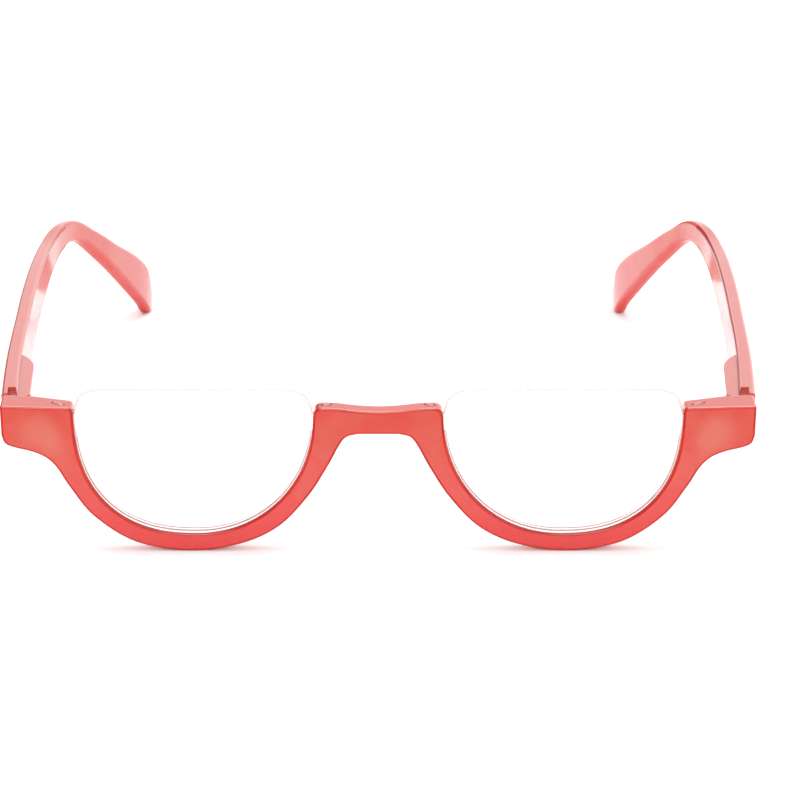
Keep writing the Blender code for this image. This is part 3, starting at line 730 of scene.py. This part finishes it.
def make_liner(side, label, materials):
    """The bead between the grooves of the rim and the lens."""
    route = at_groove(half_moon(LENS_GAP), side)[LINER_END_POINTS:-LINER_END_POINTS]
    mesh = tube_mesh(route, LINER_RADIUS)
    add_piece(f"liner_bead_{label}", mesh, front_matrix(), "front", materials, f"lens_liner_{label}")


def make_cord(side, label, materials):
    """The cord over the lens's top, looped into the endpiece and the bridge."""
    outer = at_groove(smooth_path(LENS_OUTER_CORNER[1:], CURVE_STEPS), side)
    inner = at_groove(smooth_path(LENS_INNER_CORNER[:-1], CURVE_STEPS), side)
    start = smooth_path(mirrored(ENDPIECE_ANCHOR, side), CORD_ANCHOR_STEPS)[CORD_START:]
    end = smooth_path(mirrored(BRIDGE_ANCHOR, side), CORD_ANCHOR_STEPS)[CORD_START:]
    mesh = tube_mesh(start + outer + inner + end[::-1], CORD_RADIUS)
    add_piece(f"nylon_cord_{label}", mesh, front_matrix(), "front", materials, f"lens_cord_{label}")


def make_spring(side, label, materials):
    """The coil, squeezed between the bush that rides on the temple and the nut on the slider."""
    count = SPRING_TURNS * SPRING_POINTS_PER_TURN
    start, end = SPRING_SPAN
    path = []
    for step in range(count + 1):
        angle = 2 * math.pi * step / SPRING_POINTS_PER_TURN
        along = start + (end - start) * step / count
        path.append((SPRING_MEAN_RADIUS * math.cos(angle), along, SPRING_MEAN_RADIUS * math.sin(angle)))
    _, temple = hinge_matrices(side, label)
    mesh = tube_mesh(path, SPRING_WIRE_RADIUS, resolution=COARSE_ROUND_STEPS)
    node = f"hinge_spring_{label}"
    spring = add_piece(f"coil_spring_{label}", mesh, temple, None, materials, node)
    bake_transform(spring)


def temple_ring(upper, lower, section, side, shrink=0.0):
    """Rounded ring between two edges, on the bowed outer face: thickness at each edge and corner radius."""
    upper, lower = Vector(upper), Vector(lower)
    height = (upper - lower).length
    along = (upper - lower) / height
    upper_width, lower_width, radius = section
    middle = (upper_width + lower_width) / 2
    flare = (upper_width - lower_width) / middle / height
    half, depth = height / 2 - shrink, middle - 2 * shrink
    radius = min(radius, depth / 2 - TEMPLE_LEAST_FLAT)
    corners = [
        (-half + radius, radius, 180),
        (-half + radius, depth - radius, 90),
        (half - radius, depth - radius, 0),
        (half - radius, radius, -90),
    ]
    ring = []
    for centre_p, centre_q, start in corners:
        for step in range(TEMPLE_CORNER_STEPS + 1):
            angle = math.radians(start + 90 - 90 * step / TEMPLE_CORNER_STEPS)
            p = centre_p + radius * math.cos(angle)
            q = (centre_q + radius * math.sin(angle) + shrink) * (1 + flare * p)
            y, z = (upper + lower) / 2 + along * p
            ahead = interpolate(TEMPLE_OUTER_FACE, y + SLOPE_STEP)
            slope = (ahead - interpolate(TEMPLE_OUTER_FACE, y - SLOPE_STEP)) / (2 * SLOPE_STEP)
            x = interpolate(TEMPLE_OUTER_FACE, y) - q * math.hypot(1, slope)
            ring.append((x * side, y, z))
    return ring


def temple_loft(side):
    """The temple's skin through its stations, with a rounded tip."""
    uppers = smooth_path([station[0] for station in TEMPLE_STATIONS], STATION_STEPS)
    lowers = smooth_path([station[1] for station in TEMPLE_STATIONS], STATION_STEPS)
    sections = smooth_path([station[2:] for station in TEMPLE_STATIONS], STATION_STEPS)
    rings = [temple_ring(*edges, side) for edges in zip(uppers, lowers, sections)]
    for step in range(1, TIP_STEPS + 1):
        angle = math.pi / 2 * step / TIP_STEPS
        ahead = Vector((TIP_ROUNDING * math.sin(angle), 0))
        shrink = TIP_ROUNDING * (1 - math.cos(angle))
        upper, lower = Vector(uppers[-1]) + ahead, Vector(lowers[-1]) + ahead
        rings.append(temple_ring(upper, lower, sections[-1], side, shrink))
    return loft_mesh(rings, TEMPLE_CORNER_STEPS + 1, CRISP_STATIONS * STATION_STEPS)


def arc_points(radius, start, end, steps):
    """Points of an arc about the origin, between two angles in degrees."""
    angles = [math.radians(start + (end - start) * step / steps) for step in range(steps + 1)]
    return [(radius * math.cos(angle), radius * math.sin(angle)) for angle in angles]


def housing_mesh(side):
    """The raised block on the temple's inner face, round the pin in front and tapered behind."""
    reach = math.degrees(math.acos(HOUSING_INNER_X / HOUSING_CORNER_RADIUS))
    corner = arc_points(HOUSING_CORNER_RADIUS, -reach, -90, HOUSING_CORNER_STEPS)
    rear = smooth_path(HOUSING_REAR, HOUSING_REAR_STEPS)
    outline = corner + HOUSING_FRONT + rear[::-1]
    return shape(plate_mesh(mirrored(outline, side), *HOUSING_Z), [], HOUSING_ROUNDING)


def make_temple(side, label, materials):
    """The temple with its housing, hollowed for the hinge and trimmed to the back of the endpiece."""
    _, temple = hinge_matrices(side, label)
    top = TEMPLE_STATIONS[0][0][1]
    notch_heights = (top - NOTCH_DEPTH, top + NOTCH_CUT_RISE)
    end = ENDPIECE_THICKNESS + END_GAP
    relieved = [(x, end + extra) for x, extra in END_RELIEF]
    inner, outer = END_TRIM_X
    trim = [(inner, END_TRIM_FRONT), (outer, END_TRIM_FRONT), *relieved[::-1], (inner, end)]
    end_trim = plate_mesh(mirrored(trim, side), *END_TRIM_HEIGHTS)
    end_trim.transform(temple.inverted() @ front_matrix())
    x_span = sorted(x * side for x in NICHE_X)
    cuts = [
        ("UNION", housing_mesh(side), False),
        ("DIFFERENCE", box_mesh(x_span, NICHE_Y, NICHE_Z), False),
        ("DIFFERENCE", bore_mesh(BORE_RADIUS, *BORE_Y), False),
        ("DIFFERENCE", plate_mesh(mirrored(NOTCH, side), *notch_heights), False),
        ("DIFFERENCE", end_trim, False),
    ]
    mesh = without_slivers(shape(temple_loft(side), cuts))
    name = f"temple_arm_{label}"
    add_piece(name, mesh, temple, f"temple_{label}", materials, f"temple_{label}")


# ---------------------------------------------------------------- materials


def add_node(tree, kind, inputs, **settings):
    """A node with its settings and its inputs, each a value or another node's socket."""
    node = tree.nodes.new(kind)
    for name, value in settings.items():
        setattr(node, name, value)
    for name, value in inputs.items():
        if isinstance(value, bpy.types.NodeSocket):
            tree.links.new(value, node.inputs[name])
        else:
            node.inputs[name].default_value = value
    return node


def new_shader(name, inputs):
    """A material with a Principled surface, and its node tree."""
    material = bpy.data.materials.new(name)
    material.use_nodes = True
    shader = material.node_tree.nodes["Principled BSDF"]
    for key, value in inputs.items():
        shader.inputs[key].default_value = value
    return material, material.node_tree, shader


def noise(tree, scale, detail=2.0):
    """Fractal noise in object space; scale is in cycles a metre."""
    place = add_node(tree, "ShaderNodeTexCoord", {})
    inputs = {"Vector": place.outputs["Object"], "Scale": scale, "Detail": detail}
    return add_node(tree, "ShaderNodeTexNoise", inputs).outputs["Fac"]


def spread(tree, value, low, high, to_low=0.0, to_high=1.0):
    """Smooth step of a value from one range to another."""
    inputs = {"Value": value, "From Min": low, "From Max": high, "To Min": to_low, "To Max": to_high}
    return add_node(tree, "ShaderNodeMapRange", inputs, interpolation_type="SMOOTHSTEP").outputs["Result"]


def mottle(tree, scale, low=0.0, high=1.0):
    """Soft blotches between two values."""
    return spread(tree, noise(tree, scale), *NOISE_SPAN, low, high)


def blend_colours(tree, factor, first, second):
    """Mix of two colours, each a value or a socket."""
    inputs = {0: factor, 6: first, 7: second}
    return add_node(tree, "ShaderNodeMix", inputs, data_type="RGBA").outputs[2]


def blend_values(tree, factor, first, second):
    """Mix of two numbers, each a value or a socket."""
    return add_node(tree, "ShaderNodeMix", {0: factor, 2: first, 3: second}).outputs[0]


def calculate(tree, operation, first, second):
    return add_node(tree, "ShaderNodeMath", {0: first, 1: second}, operation=operation).outputs[0]


def axis_of(tree, vector, axis):
    return add_node(tree, "ShaderNodeSeparateXYZ", {"Vector": vector}).outputs[axis]


def object_height(tree):
    """Height above the table with the glasses open."""
    place = add_node(tree, "ShaderNodeTexCoord", {})
    return axis_of(tree, place.outputs["Object"], "Z")


def normal_along(tree, axis):
    geometry = add_node(tree, "ShaderNodeNewGeometry", {})
    return axis_of(tree, geometry.outputs["Normal"], axis)


def edge_shade_depth(tree):
    """Painted shade near edges: 0 near an edge or in a thin section, 1 over the thick middle of a part."""
    settings = {"samples": DEPTH_SAMPLES, "inside": True, "only_local": True}
    inside = add_node(tree, "ShaderNodeAmbientOcclusion", {"Distance": DEPTH_REACH}, **settings)
    return spread(tree, inside.outputs["AO"], *DEPTH_RANGE)


def add_ripple(tree, shader):
    """The faint unevenness of a polished moulding."""
    height = noise(tree, RIPPLE_SCALE, detail=1.0)
    inputs = {"Height": height, "Strength": RIPPLE_STRENGTH, "Distance": RIPPLE_HEIGHT}
    bump = add_node(tree, "ShaderNodeBump", inputs)
    tree.links.new(bump.outputs["Normal"], shader.inputs["Normal"])


def coral_plastic():
    """Polished coral plastic with painted light: painted shade makes it deep red in thin sections, low down and
    underneath, paler elsewhere, and upward faces get a painted top tone.
    """
    settings = {
        "IOR": 1.5,
        "Subsurface Weight": 0.35,
        "Subsurface Radius": (1.0, 0.25, 0.18),
        "Subsurface Scale": 0.0015,
        "Coat Roughness": 0.03,
        "Coat IOR": 1.5,
    }
    material, tree, shader = new_shader("coral plastic", settings)
    rise = normal_along(tree, "Z")
    height = object_height(tree)
    # painted shade: deeper near edges and thin sections, low down and on downward faces
    raised = calculate(tree, "ADD", edge_shade_depth(tree), spread(tree, height, *HEIGHT_FADE, *HEIGHT_DEPTHS))
    lit = calculate(tree, "MULTIPLY", raised, spread(tree, rise, *UNDERSIDE_RISE))
    depth = calculate(tree, "ADD", lit, mottle(tree, CLOUD_SCALE, *CLOUD_DEPTHS))
    deep = blend_colours(tree, spread(tree, height, *LOW_FADE), LOW_SHADED_CORAL, DEEP_SHADED_CORAL)
    body = blend_colours(tree, depth, deep, PALE_CORAL)
    # painted light: upward faces blend to the top tone
    colour = blend_colours(tree, spread(tree, rise, *TOP_RISE, 0.0, TOP_SHARE), body, TOP_LIT_CORAL)
    tree.links.new(colour, shader.inputs["Base Color"])
    tree.links.new(spread(tree, rise, *COAT_RISE, *COAT_WEIGHTS), shader.inputs["Coat Weight"])
    tree.links.new(spread(tree, rise, *COAT_RISE, *GLOSS_LEVELS), shader.inputs["Specular IOR Level"])
    tree.links.new(mottle(tree, SMEAR_SCALE, *SMEAR_ROUGHNESS), shader.inputs["Roughness"])
    add_ripple(tree, shader)
    return material


def coral_edge():
    """The same plastic on its rounded edges, with painted light: painted dark shade in creases and along outlines,
    and a painted highlight on top.
    """
    settings = {"IOR": 1.5, "Roughness": 0.2, "Coat Roughness": 0.05, "Coat IOR": 1.5}
    material, tree, shader = new_shader("coral plastic edge", settings)
    rise = normal_along(tree, "Z")
    facing = add_node(tree, "ShaderNodeLayerWeight", {"Blend": 0.5}).outputs["Facing"]
    # painted shade: dark outlines on edges turned away and not upward
    away, low = spread(tree, facing, *OUTLINE_FACING), spread(tree, rise, *OUTLINE_RISE)
    outline = calculate(tree, "MULTIPLY", away, low)
    # painted highlight: a bright line on high, upward edges not turned to the left
    high = spread(tree, object_height(tree), *HIGHLIGHT_HEIGHT)
    unshaded = calculate(tree, "MULTIPLY", high, spread(tree, normal_along(tree, "X"), *HIGHLIGHT_SIDE))
    crest = calculate(tree, "MULTIPLY", spread(tree, rise, *HIGHLIGHT_RISE), unshaded)
    # painted shade: rounded edges run deeper red
    deep = blend_colours(tree, mottle(tree, CLOUD_SCALE), DEEP_SHADED_CORAL, SHADED_EDGE_CORAL)
    # painted shade: the dark line on edges turning upwards
    crease = blend_colours(tree, spread(tree, rise, *CREASE_SHADE_RISE), deep, CREASE_SHADE_CORAL)
    upper = blend_colours(tree, crest, crease, PAINTED_HIGHLIGHT_CORAL)
    tree.links.new(blend_colours(tree, outline, upper, EDGE_SHADE), shader.inputs["Base Color"])
    gleam = spread(tree, rise, *GLEAM_RISE)
    tree.links.new(gleam, shader.inputs["Coat Weight"])
    tree.links.new(calculate(tree, "MULTIPLY", gleam, 0.5), shader.inputs["Specular IOR Level"])
    return material


def lens_resin():
    """Clear lens resin: light passes straight through, and the surface gives a faint reflection."""
    material, tree, _ = new_shader("lens resin", {})
    polish = {"Color": WHITE, "Roughness": mottle(tree, LENS_SMEAR_SCALE, *LENS_ROUGHNESS)}
    reflection = add_node(tree, "ShaderNodeBsdfGlossy", polish).outputs["BSDF"]
    clear = add_node(tree, "ShaderNodeBsdfTransparent", {"Color": LENS_TINT}).outputs["BSDF"]
    fresnel = add_node(tree, "ShaderNodeFresnel", {"IOR": 1.5}).outputs["Fac"]
    factor = calculate(tree, "MULTIPLY", fresnel, LENS_REFLECTION)
    mix = add_node(tree, "ShaderNodeMixShader", {0: factor, 1: clear, 2: reflection})
    tree.links.new(mix.outputs["Shader"], tree.nodes["Material Output"].inputs["Surface"])
    return material


def ground_edge():
    """The lens's frosted edge: white down in the rim, with a painted glow, nearly clear above it."""
    settings = {"Roughness": 0.6, "Emission Color": GROUND_PAINTED_GLOW_COLOUR, "Emission Strength": GROUND_PAINTED_GLOW}
    material, tree, shader = new_shader("ground lens edge", settings)
    colour = blend_colours(tree, mottle(tree, GRIT_SCALE), *map(grey, GROUND_GREYS))
    tree.links.new(colour, shader.inputs["Base Color"])
    clearing = spread(tree, object_height(tree), *CHAMFER_FADE, *GROUND_ALPHA)
    tree.links.new(clearing, shader.inputs["Alpha"])
    return material


def edge_chamfer():
    """The thin chamfer round the lens: painted dark shade where it sits in the rim, nearly clear above it."""
    material, tree, shader = new_shader("lens chamfer", {"Roughness": 0.4})
    colour = blend_colours(tree, mottle(tree, FINE_SCALE), *CHAMFER_SHADE_COLOURS)
    tree.links.new(colour, shader.inputs["Base Color"])
    clearing = spread(tree, object_height(tree), *CHAMFER_FADE, *CHAMFER_ALPHA)
    tree.links.new(clearing, shader.inputs["Alpha"])
    return material


def nylon():
    """Clear monofilament that takes on the colour under it, partly through its clearness and partly by a painted
    pink tint.
    """
    settings = {"Roughness": 0.15, "IOR": 1.53, "Alpha": NYLON_ALPHA}
    material, tree, shader = new_shader("clear nylon", settings)
    colour = blend_colours(tree, mottle(tree, NYLON_SCALE), *NYLON_PAINTED_PINKS)
    tree.links.new(colour, shader.inputs["Base Color"])
    return material


def hinge_steel():
    """Nickel-coloured hinge metal with fine turning marks."""
    material, tree, shader = new_shader("hinge steel", {"Metallic": 1.0})
    colour = blend_colours(tree, mottle(tree, FINE_SCALE), *STEEL_COLOURS)
    tree.links.new(colour, shader.inputs["Base Color"])
    tree.links.new(mottle(tree, FINE_SCALE, *STEEL_ROUGHNESS), shader.inputs["Roughness"])
    return material


def grey(value):
    return (value, value, value, 1)


# ---------------------------------------------------------------- stage


def table_surface():
    """White table. In reflections it darkens towards the camera, like a table that ends there."""
    material, tree, shader = new_shader("table", {"Roughness": 0.9, "Specular IOR Level": 0.0})
    white = blend_colours(tree, mottle(tree, TABLE_CLOUD_SCALE), *map(grey, TABLE_GREYS))
    geometry = add_node(tree, "ShaderNodeNewGeometry", {})
    ahead = spread(tree, axis_of(tree, geometry.outputs["Position"], "Y"), *TABLE_FADE, 1, 0)
    path = add_node(tree, "ShaderNodeLightPath", {})
    dimmed = calculate(tree, "MULTIPLY", ahead, path.outputs["Is Glossy Ray"])
    tree.links.new(blend_colours(tree, dimmed, white, grey(TABLE_SHADE)), shader.inputs["Base Color"])
    return material


def make_stage():
    mesh = bpy.data.meshes.new("table")
    solid = bmesh.new()
    bmesh.ops.create_grid(solid, x_segments=1, y_segments=1, size=TABLE_SIZE)
    solid.to_mesh(mesh)
    solid.free()
    mesh.materials.append(table_surface())
    table = bpy.data.objects.new("table", mesh)
    bpy.context.scene.collection.objects.link(table)


def add_area_light(name, place, target, size, power):
    """A round, soft lamp aimed at its target."""
    light = bpy.data.lights.new(name, "AREA")
    light.shape = "DISK"
    light.size = size
    light.energy = power
    lamp = bpy.data.objects.new(name, light)
    bpy.context.scene.collection.objects.link(lamp)
    lamp.location = place
    aim = Vector(target) - Vector(place)
    lamp.rotation_euler = aim.to_track_quat("-Z", "Y").to_euler()


def make_world():
    """A white room. In reflections its left side is dark and its front is dimmed."""
    world = bpy.data.worlds.new("white room")
    world.use_nodes = True
    tree = world.node_tree
    direction = add_node(tree, "ShaderNodeTexCoord", {}).outputs["Generated"]
    across = spread(tree, axis_of(tree, direction, "X"), *LEFT_FLAG, *LEFT_TO_RIGHT)
    along = spread(tree, axis_of(tree, direction, "Y"), *FRONT_FLAG, *FRONT_TO_BACK)
    reflected = calculate(tree, "MULTIPLY", across, along)
    path = add_node(tree, "ShaderNodeLightPath", {})
    lighting = blend_values(tree, path.outputs["Is Glossy Ray"], ROOM_LIGHT, reflected)
    strength = blend_values(tree, path.outputs["Is Camera Ray"], lighting, BACKDROP_LIGHT)
    tree.links.new(strength, tree.nodes["Background"].inputs["Strength"])
    tree.nodes["Background"].inputs["Color"].default_value = ROOM_TINT
    bpy.context.scene.world = world


def make_camera():
    data = bpy.data.cameras.new("camera")
    data.lens = CAMERA_LENS
    data.sensor_width = SENSOR_WIDTH
    camera = bpy.data.objects.new("camera", data)
    bpy.context.scene.collection.objects.link(camera)
    camera.location = Vector(CAMERA_PLACE) * MM
    camera.rotation_euler = (math.radians(90 - CAMERA_DIP), 0, 0)
    bpy.context.scene.camera = camera


# ---------------------------------------------------------------- the scene

bpy.context.scene.view_settings.view_transform = "Standard"
coral = [coral_plastic(), coral_edge()]
lens = [lens_resin(), ground_edge(), edge_chamfer()]
cord = [nylon()]
steel = [hinge_steel()]

make_front(coral)
for side_sign, side_label in SIDES.items():
    make_lens(side_sign, side_label, lens)
    make_liner(side_sign, side_label, cord)
    make_cord(side_sign, side_label, cord)
    make_temple(side_sign, side_label, coral)
    make_spring(side_sign, side_label, steel)
    for part in ("hinge_leaf", "hinge_screw", "spring_slider", "spring_bush", "spring_nut"):
        node = frame["nodes"][f"{part}_{side_label}"]
        node.data.materials.clear()
        node.data.materials.append(steel[0])
make_stage()
make_world()
for lamp in LAMPS:
    add_area_light(*lamp)
make_camera()
